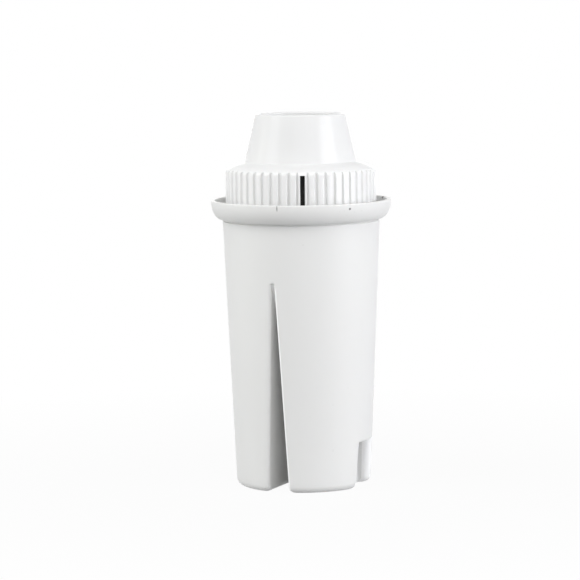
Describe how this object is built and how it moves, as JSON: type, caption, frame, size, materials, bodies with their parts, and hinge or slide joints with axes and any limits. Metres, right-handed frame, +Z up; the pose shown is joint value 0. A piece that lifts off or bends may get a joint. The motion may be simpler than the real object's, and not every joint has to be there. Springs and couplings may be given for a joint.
{
  "type": "water pitcher filter cartridge",
  "caption": "Tapered white plastic cartridge with a wedge key slot, a foot notch, a trough-shaped flange and a ribbed cap with inlet windows under a raised cone.",
  "frame": {"origin": "middle of the foot, on the plane that the cartridge stands on", "axes": "+Z up along the cartridge's axis, -Y towards the key slot, +X towards the side notch"},
  "size_m": [0.055, 0.055, 0.1137],
  "materials": {
    "housing_plastic": "white moulded polypropylene, soft gloss",
    "cap_plastic": "white moulded polypropylene, soft gloss",
    "inlet_mesh": "fine black woven mesh",
    "outlet_mesh": "fine pale woven mesh",
    "granules": "black carbon granules among amber beads"
  },
  "bodies": {
    "root": {"housing": "housing_plastic", "cap": "cap_plastic", "inlet_screen": "inlet_mesh", "outlet_screen": "outlet_mesh", "granulate_bed": "granules"}
  },
  "joints": []
}
